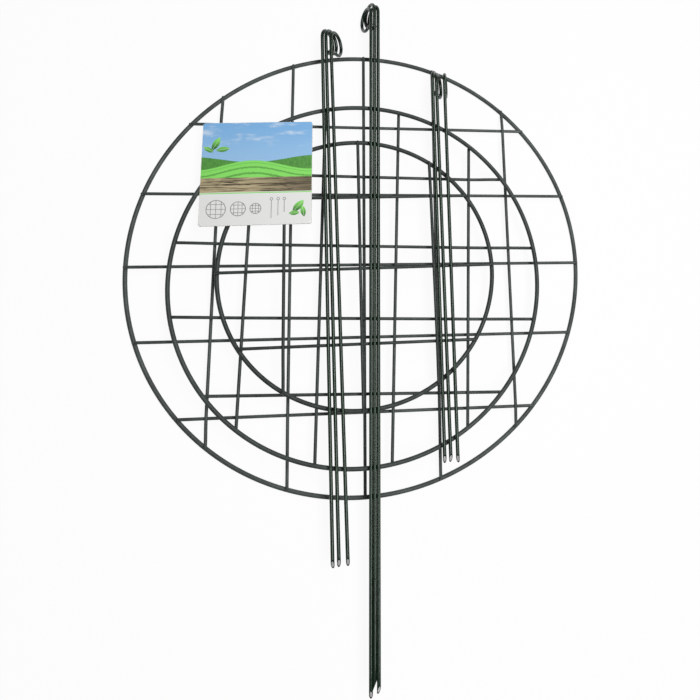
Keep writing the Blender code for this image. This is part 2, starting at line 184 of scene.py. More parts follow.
class PlantSupportStage(bpy.types.PropertyGroup):
    """The camera of the picture, and the lamps."""

    camera_place: FloatVectorProperty(
        name="Camera Place", description="Where the camera stands", subtype="XYZ", unit="LENGTH",
        default=(0.01080, -0.08475, 0.79383))
    camera_turn: FloatVectorProperty(
        name="Camera Turn", description="How the camera is turned", subtype="EULER", unit="ROTATION",
        default=(radians(12.745), radians(-8.345), radians(-2.003)))
    focal_length: FloatProperty(
        name="Focal Length", description="Of the lens, on a sensor 36 mm wide", default=36.457, min=10.0)
    shift_x: FloatProperty(name="Shift X", description="Sideways lens shift", default=-0.18208)
    shift_y: FloatProperty(name="Shift Y", description="Upward lens shift", default=-0.16656)
    key_power: FloatProperty(name="Key Lamp", description="Power of the key", default=18.4, unit="POWER")
    fill_power: FloatProperty(name="Fill Lamp", description="Power of the fill", default=0.6, unit="POWER")
    sky_strength: FloatProperty(name="Surround", description="Strength of the pale surround", default=0.15)


def settings(part):
    return getattr(bpy.context.scene, "plant_support_" + part)


# Measuring the CAD nodes


def node_points(node):
    """Every distinct corner of a CAD node, in metres."""
    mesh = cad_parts[node].data
    flat = np.empty(len(mesh.vertices) * 3, np.float32)
    mesh.vertices.foreach_get("co", flat)
    return np.unique(flat.reshape(-1, 3).astype(float).round(7), axis=0)


def unit(vector):
    return vector / np.linalg.norm(vector)


def wire_corners(node):
    """Middles of a grid wire's cross sections, in order along it.

    The wire's corners are grouped by their place on its length, and each group is averaged.
    """
    points = node_points(node)
    level = points[:, :2] - points[:, :2].mean(0)
    along = np.linalg.svd(level, full_matrices=False)[2][0]
    reach = level @ (along * np.sign(along.sum()))
    order = np.argsort(reach)
    breaks = np.flatnonzero(np.diff(reach[order]) > GRID_THICKNESS / 2) + 1
    return np.array([points[group].mean(0) for group in np.split(order, breaks)])


def rim_circle(hoop):
    """Centre and centreline radius of a rim that keeps inside its box and on the ground."""
    thickness = settings("sizes").rim_diameter
    low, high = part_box(hoop + "_rim")
    centre = np.array((low + high) / 2)
    centre[2] = max(centre[2], thickness / 2)
    return centre, (high.x - low.x - thickness) / 2


def leg_form(node):
    """Measures a leg on its steel wire.

    The eye's plane is the flattest plane through its corners, and its centre the least squares circle in that
    plane. The shaft touches that circle where the line from the tip meets it at a right angle. The cut is the
    flattest plane through the tip's corners.
    """
    sizes = settings("sizes")
    steel_radius = sizes.cad_steel_diameter / 2
    points = node_points(node)
    points = points[np.argsort(points[:, 1])]
    tip, eye = points[:TIP_CORNERS], points[TIP_CORNERS:]
    middle = eye.mean(0)
    axes = np.linalg.svd(eye - middle, full_matrices=False)[2]
    flat = (eye - middle) @ axes[:2].T
    fit = np.linalg.lstsq(np.c_[2 * flat, np.ones(len(flat))], (flat ** 2).sum(1), rcond=None)[0]
    centre = middle + fit[:2] @ axes[:2]
    radius = sqrt(fit[2] + fit[:2] @ fit[:2] - steel_radius ** 2 / 2) - sizes.eye_inset
    base = tip.mean(0)
    base = base + unit(centre - base) * sizes.tip_inset
    toward = centre - base
    distance = np.linalg.norm(toward)
    across = np.cross(axes[2], toward / distance)
    across = across * np.sign(across[2])
    up = across * sqrt(1 - (radius / distance) ** 2) - toward / distance * (radius / distance)
    touch = centre + up * radius
    heading = unit(touch - base)
    cut = np.linalg.svd(tip - tip.mean(0))[2][2]
    cut = cut * -np.sign(cut @ heading)
    return {"base": base, "touch": touch, "centre": centre, "radius": radius, "heading": heading, "hang": -up,
            "normal": unit(np.cross(heading, -up)), "cut": cut}


# Surfaces


def round_rings(route, radii, normal, sides, heading=None):
    """Circles across a route that lies in one plane.

    Each point is the route's point plus the radius times (cos a * normal + sin a * side), where normal stands
    square to the plane and side is the heading crossed with it.
    """
    if heading is None:
        heading = np.gradient(route, axis=0)
    side = np.cross(heading, normal)
    side = side / np.linalg.norm(side, axis=1, keepdims=True)
    angle = 2 * pi * np.arange(sides) / sides
    spokes = np.cos(angle)[None, :, None] * normal + np.sin(angle)[None, :, None] * side[:, None]
    return route[:, None] + np.asarray(radii)[:, None, None] * spokes


def skin(rings, along, around, closed=False):
    """A closed surface over rings of points.

    It has four-sided faces between neighbouring rings, and a fan at both ends unless the rings close on
    themselves. Returns its points and faces, the UV place of each face's corners, and each face's band.
    """
    count, sides = rings.shape[:2]
    points = rings.reshape(-1, 3)
    row, column = np.meshgrid(np.arange(count if closed else count - 1), np.arange(sides), indexing="ij")
    after, beside = (row + 1) % count, (column + 1) % sides
    here, there = row * sides, after * sides
    quads = np.stack([here + column, here + beside, there + beside, there + column], -1).reshape(-1, 4)
    corners = np.stack([along[row], along[row], along[row + 1], along[row + 1]], -1)
    turns = np.stack([around[column], around[column + 1], around[column + 1], around[column]], -1)
    places = np.stack([corners, turns], -1).reshape(-1, 2)
    faces = quads.tolist()
    bands = row.reshape(-1)
    if not closed:
        points = np.vstack([points, rings[0].mean(0), rings[-1].mean(0)])
        edge = np.arange(sides)
        following = (edge + 1) % sides
        last = (count - 1) * sides
        first_fan = np.stack([np.full(sides, count * sides), following, edge], -1)
        last_fan = np.stack([np.full(sides, count * sides + 1), last + edge, last + following], -1)
        faces += first_fan.tolist() + last_fan.tolist()
        for end, order in ((along[0], (1, 0)), (along[-1], (0, 1))):
            middle = np.stack([np.full(sides, end), (around[:-1] + around[1:]) / 2], -1)
            rim = [np.stack([np.full(sides, end), around[edge + step]], -1) for step in order]
            places = np.vstack([places, np.stack([middle, *rim], 1).reshape(-1, 2)])
        bands = np.r_[bands, np.full(sides, 0), np.full(sides, count - 2)]
    return points, faces, places, bands


def show(name, data):
    """Puts a mesh, a lamp or a camera into the scene."""
    made = bpy.data.objects.new(name, data)
    bpy.context.scene.collection.objects.link(made)
    return made


def make_piece(name, parts, materials, band_material=None):
    """One object of one or more skins, with their places along and around as its UV map, in metres."""
    points, part_faces, places, bands = zip(*parts)
    starts = np.cumsum([0, *map(len, points)]).tolist()
    faces = [[corner + start for corner in face] for start, some in zip(starts, part_faces) for face in some]
    mesh = bpy.data.meshes.new(name)
    mesh.from_pydata(np.vstack(points), [], faces)
    layer = mesh.uv_layers.new(name="surface")
    layer.data.foreach_set("uv", np.vstack(places).astype(np.float32).ravel())
    for material in materials:
        mesh.materials.append(material)
    if band_material is not None:
        mesh.polygons.foreach_set("material_index", band_material(np.concatenate(bands)).astype(np.int32))
    mesh.shade_smooth()
    mesh.set_sharp_from_angle(angle=radians(40.0))
    return show(name, mesh)


def lengths_along(route, closed=False):
    steps = np.linalg.norm(np.diff(route, axis=0, append=route[:1]), axis=1)
    total = np.r_[0.0, np.cumsum(steps)]
    return total if closed else total[:-1]


def around_places(radius, sides):
    return 2 * pi * radius * np.arange(sides + 1) / sides


def smooth_route(corners):
    """Straight runs between the corners in even steps, averaged with their neighbours four times."""
    reach = lengths_along(corners)
    places = np.linspace(0.0, reach[-1], int(reach[-1] / ROUTE_STEP) + 2)
    route = np.stack([np.interp(places, reach, corners[:, axis]) for axis in range(3)], 1)
    for _ in range(4):
        route[1:-1] = (route[:-2] + 2 * route[1:-1] + route[2:]) / 4
    return route


def rounded_wire(corners, radius, depth):
    """A wire with dome ends: at each end the radius falls as a quarter ellipse over the given depth."""
    route = smooth_route(corners)
    reach = lengths_along(route)
    dome = np.radians([84, 68, 50, 30])
    fall = depth * (1 - np.sin(dome))
    inner = np.linspace(depth, reach[-1] - depth, len(route))
    places = np.r_[fall, inner, reach[-1] - fall[::-1]]
    radii = radius * np.r_[np.cos(dome), np.ones(len(inner)), np.cos(dome[::-1])]
    line = np.stack([np.interp(places, reach, route[:, axis]) for axis in range(3)], 1)
    level = corners[-1] - corners[0]
    normal = unit(np.array([-level[1], level[0], 0.0]))
    rings = round_rings(line, radii, normal, WIRE_SIDES)
    return skin(rings, places, around_places(radius, WIRE_SIDES))


def knuckle(low, high, low_radius, high_radius, swell):
    """The coating's swelling round a weld.

    A body of revolution on the upright line through both wires, which reaches most of a radius past their
    middles. Its radius is the wires' times the swell times a low power of the sine of its height's share, and
    a bell curve pinches it halfway.
    """
    reach, fullness = 0.86, 0.3
    pinch, pinch_width = 0.16, 0.14
    share = np.linspace(0.0, 1.0, 15)[1:-1]
    bottom = low[2] - low_radius * reach
    top = high[2] + high_radius * reach
    height = bottom + (top - bottom) * (0.5 - 0.5 * np.cos(pi * share))
    place = (height - bottom) / (top - bottom)
    widths = low_radius + (high_radius - low_radius) * place
    waist = 1 - pinch * np.exp(-((place - 0.5) / pinch_width) ** 2)
    radii = swell * widths * np.sin(pi * place) ** fullness * waist
    middle = low + (high - low) * ((height - low[2]) / (high[2] - low[2]))[:, None]
    heading = np.tile([0.0, 0.0, 1.0], (len(height), 1))
    rings = round_rings(middle, radii, np.array([1.0, 0.0, 0.0]), WELD_SIDES, heading)
    return skin(rings, height, around_places(widths.mean(), WELD_SIDES))


def crossing(row, column):
    """Where two wires cross in plan, as a point on each: both end-to-end lines solved for one place."""
    start, end = row[0][:2], row[-1][:2]
    other, far = column[0][:2], column[-1][:2]
    share = np.linalg.solve(np.stack([end - start, other - far], 1), other - start)
    place = start + (end - start) * share[0]
    return at_share(row, share[0], place), at_share(column, share[1], place)


def at_share(wire, share, place):
    """The wire's point at a share of its end-to-end line, at the given place in plan."""
    line = wire[-1][:2] - wire[0][:2]
    shares = (wire[:, :2] - wire[0][:2]) @ line / (line @ line)
    return np.array([*place, np.interp(share, shares, wire[:, 2])])


def rim_meetings(wire, centre, radius):
    """The two points of a wire over the rim's centreline: the line from end to end, met with the circle."""
    start, line = wire[0][:2] - centre[:2], wire[-1][:2] - wire[0][:2]
    square, half, rest = line @ line, start @ line, start @ start - radius ** 2
    root = sqrt(half ** 2 - square * rest)
    for share in ((-half - root) / square, (-half + root) / square):
        place = wire[0][:2] + line * share
        yield at_share(wire, share, place)


# Materials


def feed(socket, value):
    """Links a socket to the input, or sets the input to a plain value."""
    if isinstance(value, bpy.types.NodeSocket):
        socket.id_data.links.new(value, socket)
    elif value is not None:
        socket.default_value = value


def node_for(kind, *values):
    """A new node in the tree of the first socket among the values."""
    tree = next(value.id_data for value in values if isinstance(value, bpy.types.NodeSocket))
    return tree.nodes.new("ShaderNode" + kind)


def calc(operation, *values, kind="Math"):
    made = node_for(kind, *values)
    made.operation = operation
    for socket, value in zip(made.inputs, values):
        feed(socket, value)
    return made.outputs[0]


def times(first, second):
    return calc("MULTIPLY", first, second)


def minus(first, second):
    return calc("SUBTRACT", first, second)


def most(first, second):
    return calc("MAXIMUM", first, second)


def times_plus(first, second, third):
    return calc("MULTIPLY_ADD", first, second, third)


def ramp(value, low, high, start=0.0, end=1.0):
    """A value that changes smoothly from start to end while the input goes from low to high."""
    made = node_for("MapRange", value)
    made.interpolation_type = "SMOOTHSTEP"
    for name, number in (("From Min", low), ("From Max", high), ("To Min", start), ("To Max", end)):
        feed(made.inputs[name], number)
    feed(made.inputs["Value"], value)
    return made.outputs[0]


def blend(share, first, second, mode="MIX"):
    """Two colours mixed by a share. On a Mix node, inputs 6 and 7 and output 2 are the colours."""
    made = node_for("Mix", share, first, second)
    made.data_type = "RGBA"
    made.blend_type = mode
    for place, value in ((0, share), (6, first), (7, second)):
        feed(made.inputs[place], value)
    return made.outputs[2]


def parted(vector):
    """The X, Y and Z of a vector."""
    made = node_for("SeparateXYZ", vector)
    feed(made.inputs[0], vector)
    return made.outputs


def noise(vector, scale, stretch=None, **values):
    """Cloudy noise. A stretch scales its three axes apart first."""
    if stretch is not None:
        mapping = node_for("Mapping", vector)
        feed(mapping.inputs["Vector"], vector)
        mapping.inputs["Scale"].default_value = stretch
        vector = mapping.outputs[0]
    made = node_for("TexNoise", vector)
    for name, value in (("vector", vector), ("scale", scale), *values.items()):
        feed(made.inputs[name.title()], value)
    return made.outputs["Fac"]


def start_group(name, inputs, outputs):
    """A node group with its two end nodes. Inputs without a default are vectors, and all else are numbers."""
    group = bpy.data.node_groups.new(name, "ShaderNodeTree")
    for label, default in inputs.items():
        kind = "NodeSocketVector" if default is None else "NodeSocketFloat"
        feed(group.interface.new_socket(name=label, in_out="INPUT", socket_type=kind), default)
    for label in outputs:
        group.interface.new_socket(name=label, in_out="OUTPUT", socket_type="NodeSocketFloat")
    return group, group.nodes.new("NodeGroupInput").outputs, group.nodes.new("NodeGroupOutput").inputs


def use_group(maker, **values):
    """A node group that is named as its maker is, and is made the first time that it is used."""
    made = node_for("Group", *values.values())
    made.node_tree = bpy.data.node_groups.get(maker.__name__) or maker()
    for key, value in values.items():
        feed(made.inputs[key.replace("_", " ").title()], value)
    return made.outputs


def dipped_coating():
    """The skin of a dipped plastic coating: orange peel, waves, and slow changes of tone and gloss."""
    group, given, out = start_group(
        "dipped_coating", {"Place": None, "Peel Size": 900.0}, ("Height", "Tone", "Gloss"))
    place, peel_size = given["Place"], given["Peel Size"]
    peel = noise(place, peel_size, detail=3.0, roughness=0.45)
    waves = noise(place, times(peel_size, 0.16))
    height = times_plus(waves, 2.4, peel)
    tone = noise(place, 26.0, detail=4.0, roughness=0.6)
    gloss = noise(place, 95.0, detail=4.0, roughness=0.65, distortion=0.4)
    feed(out["Height"], height)
    feed(out["Tone"], ramp(tone, 0.3, 0.7))
    feed(out["Gloss"], ramp(gloss, 0.32, 0.72))
    return group


def rub_marks():
    """Rub marks along a wire: noise drawn out along the surface's own length, kept where it is highest."""
    group, given, out = start_group("rub_marks", {"Surface": None, "Amount": 0.5}, ("Mask",))
    streaks = noise(given["Surface"], 1.0, detail=3.0, roughness=0.6, stretch=(60.0, 2600.0, 1.0))
    patches = noise(given["Surface"], 1.0, stretch=(24.0, 180.0, 1.0))
    low = minus(0.74, times(given["Amount"], 0.14))
    marks = ramp(streaks, low, calc("ADD", low, 0.1))
    kept = ramp(patches, 0.5, 0.66)
    feed(out["Mask"], times(marks, kept))
    return group


def settled_dust():
    """Settled dust: on faces that look up, broken up by cloudy noise."""
    group, given, out = start_group("settled_dust", {"Place": None, "Amount": 0.3}, ("Mask",))
    place = given["Place"]
    normal = group.nodes.new("ShaderNodeNewGeometry").outputs["Normal"]
    upward = ramp(parted(normal)[2], 0.35, 1.0)
    clouds = ramp(noise(place, 140.0, detail=5.0, roughness=0.7), 0.38, 0.78)
    specks = ramp(noise(place, 2400.0, detail=1.0), 0.66, 0.74)
    cover = most(clouds, times(specks, 0.8))
    feed(out["Mask"], times(times(upward, cover), given["Amount"]))
    return group


def leaf_shape():
    """One leaf with a midrib. Its half width is its width times one less the square of its length's share."""
    group, given, out = start_group(
        "leaf_shape", {"Place": None, "Middle": None, "Turn": 0.0, "Length": 0.1, "Width": 0.03},
        ("Mask", "Rib"))
    turned = group.nodes.new("ShaderNodeVectorRotate")
    turned.rotation_type = "Z_AXIS"
    feed(turned.inputs["Vector"], given["Place"])
    feed(turned.inputs["Center"], given["Middle"])
    feed(turned.inputs["Angle"], given["Turn"])
    offset = calc("SUBTRACT", turned.outputs[0], given["Middle"], kind="VectorMath")
    along, sideways, _ = parted(offset)
    share = calc("DIVIDE", along, times(given["Length"], 0.5))
    bulge = minus(1.0, times(share, share))
    beside = calc("ABSOLUTE", sideways)
    room = minus(times(bulge, given["Width"]), beside)
    mask = ramp(room, -0.002, 0.002)
    rib = times(ramp(beside, 0.0022, 0.0008), mask)
    feed(out["Mask"], mask)
    feed(out["Rib"], rib)
    return group


def drawn_ring():
    """One drawn ring: the distance from its middle, less its radius, is smaller than half its line."""
    group, given, out = start_group(
        "drawn_ring", {"Place": None, "Middle": None, "Radius": 0.05, "Line": 0.006}, ("Mask", "Inside"))
    gap = calc("DISTANCE", given["Place"], given["Middle"], kind="VectorMath").node.outputs["Value"]
    away = minus(gap, given["Radius"])
    room = minus(times(given["Line"], 0.5), calc("ABSOLUTE", away))
    feed(out["Mask"], ramp(room, -0.0015, 0.0015))
    feed(out["Inside"], ramp(away, 0.0015, -0.0015))
    return group


def start_material(name):
    """A material, the sockets of its shader and the texture coordinates of its surface."""
    material = bpy.data.materials.new(name)
    material.use_nodes = True
    nodes = material.node_tree.nodes
    return material, nodes["Principled BSDF"].inputs, nodes.new("ShaderNodeTexCoord").outputs


def add_bump(shader, height, strength, distance):
    made = node_for("Bump", height)
    for name, value in (("Strength", strength), ("Distance", distance), ("Height", height)):
        feed(made.inputs[name], value)
    feed(shader["Normal"], made.outputs[0])


def toned(colour, factor, lift=0.0):
    """A colour made darker or paler: each channel times the factor, plus the lift."""
    return [min(1.0, channel * factor + lift) for channel in colour[:3]] + [1.0]


def coating_material(name, colour, rough, dust_amount, rub_amount, gleam, tint, relief):
    """Dark green plastic coating: orange peel, cloudy gloss, paler rub marks and a little dust."""
    material, shader, where = start_material(name)
    coating = use_group(dipped_coating, place=where["Object"])
    rubs = use_group(rub_marks, surface=where["UV"], amount=rub_amount)["Mask"]
    dust = use_group(settled_dust, place=where["Object"], amount=dust_amount)["Mask"]
    deep, pale, worn = toned(colour, 0.72), toned(colour, 1.35, 0.002), toned(colour, 2.2, 0.010)
    green = blend(coating["Tone"], deep, pale)
    green = blend(times(rubs, 0.75), green, worn)
    feed(shader["Base Color"], blend(dust, green, settings("finishes").dust))
    base = ramp(coating["Gloss"], 0.0, 1.0, start=rough - 0.04, end=rough + 0.10)
    scuffed = times_plus(rubs, 0.16, base)
    feed(shader["Roughness"], times_plus(dust, 0.7, scuffed))
    height = times_plus(rubs, -0.5, coating["Height"])
    add_bump(shader, height, relief, 0.00006)
    shader["Specular IOR Level"].default_value = gleam
    shader["Specular Tint"].default_value = tint
    return material


def steel_material():
    """Cut steel wire: fine drag lines across the cut, a dull film and a first breath of rust."""
    clean = settings("finishes").steel
    rusty = (0.30, 0.17, 0.09, 1.0)
    material, shader, places = start_material("cut_steel_wire")
    where = places["Object"]
    lines = noise(where, 1.0, detail=3.0, roughness=0.7, stretch=(900.0, 9000.0, 900.0))
    film = ramp(noise(where, 900.0, detail=4.0, roughness=0.6), 0.35, 0.75)
    rust = ramp(noise(where, 1600.0, detail=4.0, roughness=0.7), 0.60, 0.76)
    metal = blend(film, clean, toned(clean, 0.80))
    feed(shader["Base Color"], blend(times(rust, 0.35), metal, rusty))
    feed(shader["Metallic"], times_plus(rust, -0.3, 0.55))
    feed(shader["Roughness"], times_plus(film, 0.22, 0.26))
    add_bump(shader, lines, 0.5, 0.00005)
    return material


def draw_hoops_and_legs(place, across, height):
    """The print's line drawing: three rings with grids, and three lines with a small ring on top."""
    ring_row, eye_row, shaft_top = 0.155, 0.243, 0.231
    figures = []
    for middle, radius in ((0.150, 0.085), (0.345, 0.066), (0.500, 0.048)):
        ring = use_group(drawn_ring, place=place, middle=(middle, ring_row, 0.0), radius=radius)
        strokes = []
        for shift in (-0.55 * radius, 0.0, 0.55 * radius):
            for axis, centre in ((across, middle), (height, ring_row)):
                strokes.append(ramp(calc("ABSOLUTE", minus(axis, centre + shift)), 0.0030, 0.0014))
        figures.append(most(ring["Mask"], times(reduce(most, strokes), ring["Inside"])))
    for middle, foot in ((0.640, 0.060), (0.700, 0.085), (0.755, 0.115)):
        eye_middle = (middle, eye_row, 0.0)
        eye = use_group(drawn_ring, place=place, middle=eye_middle, radius=0.012, line=0.005)
        line = ramp(calc("ABSOLUTE", minus(across, middle)), 0.0034, 0.0018)
        figures.append(most(eye["Mask"], times(line, between(height, foot, shaft_top))))
    return reduce(most, figures)


def between(height, low, high, soft=0.002):
    """One where the height lies between two levels, and nothing elsewhere."""
    above = ramp(height, low - soft, low + soft)
    return times(above, ramp(height, high + soft, high - soft))


def print_layers(place):
    """The card's print, from the top down: a sky, two hills, a plank, paper with a drawing, and leaves."""
    inks = settings("print")
    across, height, _ = parted(place)

    def wave(level, swing, cycles, phase):
        angle = times_plus(across, 2 * pi * cycles, phase)
        return times_plus(calc("SINE", angle), swing, level)

    def below(edge, soft=0.003):
        return ramp(minus(edge, height), -soft, soft)

    pale_sky, cloud_white = (0.62, 0.80, 0.95, 1.0), (0.90, 0.94, 0.97, 1.0)
    cloud = noise(place, 1.6, detail=4.0, roughness=0.55, stretch=(2.2, 6.5, 1.0))
    clouds = times(ramp(cloud, 0.50, 0.72), ramp(height, 0.70, 0.90))
    haze = ramp(height, 1.0, 0.62)
    colour = blend(times(haze, 0.26), inks.sky, pale_sky)
    colour = blend(times(clouds, 0.75), colour, cloud_white)

    far_hill = wave(level=0.635, swing=0.032, cycles=0.85, phase=2.2)
    tufts = noise(place, 2.0, detail=3.0, roughness=0.6, stretch=(30.0, 9.0, 1.0))
    far_green = blend(tufts, inks.leaf, toned(inks.meadow, 0.62))
    colour = blend(below(far_hill), colour, far_green)

    near_hill = wave(level=0.575, swing=0.045, cycles=0.95, phase=5.1)
    depth = minus(near_hill, height)
    spread = calc("POWER", calc("ABSOLUTE", depth), 0.62)
    furrow = calc("SINE", times_plus(spread, 70.0, times(tufts, 2.5)))
    stripes = times(ramp(furrow, 0.35, 0.9), ramp(depth, 0.0, 0.05))
    near_green = blend(times(stripes, 0.55), inks.meadow, inks.leaf)
    colour = blend(below(near_hill), colour, near_green)

    plank_low, plank_seam, plank_high = 0.315, 0.388, 0.455
    seam_dark = (0.012, 0.008, 0.005, 1.0)
    grain = noise(place, 2.2, detail=6.0, roughness=0.62, distortion=1.1, stretch=(1.6, 34.0, 1.0))
    knots = noise(place, 1.5, distortion=0.6, stretch=(3.0, 8.0, 1.0))
    knots = ramp(knots, 0.62, 0.70, start=0.0, end=-0.6)
    figure = calc("ADD", ramp(grain, 0.38, 0.56), knots)
    wood = blend(figure, inks.bark, inks.plank)
    shade = times(ramp(across, 0.35, 0.95), 0.68)
    wood = blend(shade, wood, inks.bark)
    seam = ramp(calc("ABSOLUTE", minus(height, plank_seam)), 0.004, 0.0015)
    wood = blend(seam, wood, seam_dark)
    colour = blend(below(plank_high, 0.001), colour, wood)
    colour = blend(below(plank_low, 0.001), colour, inks.paper)
    trim = between(height, plank_low - 0.014, plank_low - 0.005)
    colour = blend(trim, colour, inks.meadow)

    drawing = draw_hoops_and_legs(place, across, height)
    colour = blend(times(drawing, 0.85), colour, inks.ink)

    rib_green = (0.75, 0.90, 0.66, 1.0)
    sprigs = (
        (0.125, 0.790, 62, 0.15, 0.030), (0.190, 0.735, 8, 0.13, 0.026), (0.060, 0.735, 150, 0.11, 0.022),
        (0.880, 0.170, 48, 0.15, 0.032), (0.925, 0.120, 100, 0.11, 0.024), (0.845, 0.105, 5, 0.10, 0.022))
    for x, y, turn, length, width in sprigs:
        leaf = use_group(leaf_shape, place=place, middle=(x, y, 0.0), turn=-radians(turn),
                         length=length, width=width)
        tint = blend(ramp(height, y - 0.06, y + 0.06), inks.leaf, inks.meadow)
        colour = blend(leaf["Mask"], colour, tint)
        colour = blend(times(leaf["Rib"], 0.8), colour, rib_green)
    return colour


def card_face_material():
    """Offset print under a satin varnish: dot gain, fibre relief and scuffs along the card's edges."""
    bare_paper = (0.84, 0.83, 0.80, 1.0)
    material, shader, places = start_material("printed_card_face")
    place = places["UV"]
    colour = print_layers(place)
    dots = noise(place, 420.0, detail=1.0)
    dots = blend(dots, (0.35, 0.35, 0.35, 1.0), (0.65, 0.65, 0.65, 1.0))
    colour = blend(0.10, colour, dots, "OVERLAY")
    sides = [calc("ABSOLUTE", minus(axis, 0.5)) for axis in parted(place)[:2]]
    border = most(*sides)
    chips = noise(place, 90.0, detail=4.0, roughness=0.7)
    scuffs = ramp(times_plus(chips, 0.010, border), 0.5015, 0.5055)
    feed(shader["Base Color"], blend(scuffs, colour, bare_paper))
    fibre = noise(place, 160.0, detail=4.0, roughness=0.6, stretch=(1.0, 1.6, 1.0))
    feed(shader["Roughness"], times_plus(fibre, 0.16, times_plus(scuffs, 0.3, 0.36)))
    add_bump(shader, fibre, 0.18, 0.00008)
    shader["Coat Weight"].default_value = 0.25
    shader["Coat Roughness"].default_value = 0.3
    return material


def card_board_material():
    """Uncoated board of the back and edges: grey white with fibres, layered at the edge."""
    dark_fibre, pale_fibre = (0.58, 0.57, 0.53, 1.0), (0.78, 0.77, 0.73, 1.0)
    fleck = (0.34, 0.30, 0.24, 1.0)
    material, shader, places = start_material("card_board")
    place = places["Object"]
    fibres = noise(place, 700.0, detail=5.0, roughness=0.7, distortion=0.5, stretch=(1.0, 3.0, 12.0))
    flecks = ramp(noise(place, 1300.0), 0.68, 0.74)
    board = blend(fibres, dark_fibre, pale_fibre)
    feed(shader["Base Color"], blend(times(flecks, 0.6), board, fleck))
    shader["Roughness"].default_value = 0.85
    add_bump(shader, fibres, 0.4, 0.00008)
    return material


def floor_material():
    """Pale matt floor that the camera and mirrors see as white, less a share that keeps the shadow."""
    material, shader, places = start_material("pale_floor")
    mottle = noise(places["Object"], 6.0, detail=3.0)
    feed(shader["Base Color"], blend(mottle, (0.86, 0.86, 0.86, 1.0), (0.90, 0.90, 0.90, 1.0)))
    shader["Roughness"].default_value = 0.9
    nodes = material.node_tree.nodes
    rays = nodes.new("ShaderNodeLightPath").outputs
    seen = most(rays["Is Camera Ray"], most(rays["Is Glossy Ray"], rays["Is Transmission Ray"]))
    glow = nodes.new("ShaderNodeEmission")
    glow.inputs["Color"].default_value = WHITE
    mixed = nodes.new("ShaderNodeMixShader")
    feed(mixed.inputs[0], times(seen, FLOOR_GLOW))
    feed(mixed.inputs[1], nodes["Principled BSDF"].outputs[0])
    feed(mixed.inputs[2], glow.outputs[0])
    feed(nodes["Material Output"].inputs["Surface"], mixed.outputs[0])
    return material


def ready_coating(kind):
    """The coating of one hoop, or of the legs."""
    finishes = settings("finishes")
    rough, look = finishes.leg_roughness, LEG_COATING
    if kind in HOOPS:
        rough, look = finishes.hoop_roughness, HOOP_COATING
    return coating_material(kind + "_coating", tuple(getattr(finishes, kind + "_green")), rough, **look)


# Pieces


def make_rim(hoop, material):
    """A ring: a circle of the wire's radius carried round the rim's circle."""
    centre, radius = rim_circle(hoop)
    wire = settings("sizes").rim_diameter / 2
    turns = 2 * pi * np.arange(RIM_STEPS) / RIM_STEPS
    route = centre + radius * np.stack([np.cos(turns), np.sin(turns), 0 * turns], 1)
    heading = np.stack([-np.sin(turns), np.cos(turns), 0 * turns], 1)
    rings = round_rings(route, np.full(RIM_STEPS, wire), np.array([0.0, 0.0, 1.0]), RIM_SIDES, heading)
    ring = skin(rings, lengths_along(route, closed=True), around_places(wire, RIM_SIDES), closed=True)
    piece = make_piece(hoop + "_rim_coated", [ring], [material])
    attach(piece, hoop + "_hoop")
    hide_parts(hoop + "_rim")


def make_grid(hoop, material):
    """The rows and columns of one hoop. Returns their routes, by kind."""
    sizes = settings("sizes")
    radius = sizes.grid_diameter / 2
    wires = {"row": [], "column": []}
    for node in sorted(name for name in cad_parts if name.startswith(hoop) and "_wire_" in name):
        corners = wire_corners(node)
        wires["row" if "_row_" in node else "column"].append(smooth_route(corners))
        wire = rounded_wire(corners, radius, radius * sizes.end_round)
        piece = make_piece(node + "_coated", [wire], [material])
        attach(piece, hoop + "_hoop")
        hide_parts(node)
    return wires


def make_welds(hoop, wires, material):
    """A knuckle of coating at each crossing of the grid, and wherever a wire meets the rim."""
    sizes = settings("sizes")
    grid, rim = sizes.grid_diameter / 2, sizes.rim_diameter / 2
    centre, radius = rim_circle(hoop)
    knuckles = []
    for row in wires["row"]:
        for column in wires["column"]:
            low, high = sorted(crossing(row, column), key=lambda point: point[2])
            knuckles.append(knuckle(low, high, grid, grid, sizes.weld_swell))
    for wire in wires["row"] + wires["column"]:
        for meeting in rim_meetings(wire, centre, radius):
            rim_point = np.array([*meeting[:2], centre[2]])
            pair = sorted([(meeting, grid), (rim_point, rim)], key=lambda item: item[0][2])
            (low, low_radius), (high, high_radius) = pair
            radii = min(low_radius, grid), min(high_radius, grid)
            knuckles.append(knuckle(low, high, *radii, sizes.rim_swell))
    piece = make_piece(hoop + "_welds", knuckles, [material])
    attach(piece, hoop + "_hoop")


class PLANTSUPPORT_OT_hoops(bpy.types.Operator):
    """Makes the three hoops: each a rim, a grid of rows and columns, and coated welds."""

    bl_idname = "plant_supports.make_hoops"
    bl_label = "Hoops"

    def execute(self, context):
        for hoop in HOOPS:
            material = ready_coating(hoop)
            make_rim(hoop, material)
            wires = make_grid(hoop, material)
            make_welds(hoop, wires, material)
        return {"FINISHED"}


def leg_route(form):
    """The eye's arc from its free end back to the shaft, and then the straight shaft down to the tip.

    A point of the arc is the centre less the hang times R cos a, plus the heading times R sin a.
    """
    angles = np.linspace(settings("sizes").eye_turn, 0.0, EYE_STEPS)[:, None]
    arc = form["centre"] + form["radius"] * (np.sin(angles) * form["heading"] - np.cos(angles) * form["hang"])
    length = np.linalg.norm(form["touch"] - form["base"])
    shaft = form["touch"] - np.linspace(0.0, length, SHAFT_STEPS)[1:, None] * form["heading"]
    return arc, shaft


def cut_rings(rings, form):
    """Slants rings along the shaft, so that each lies in a plane like the tip's cut."""
    from_middle = rings - rings.mean(1, keepdims=True)
    slope = -(from_middle @ form["cut"]) / (form["cut"] @ form["heading"])
    return rings + slope[..., None] * form["heading"]


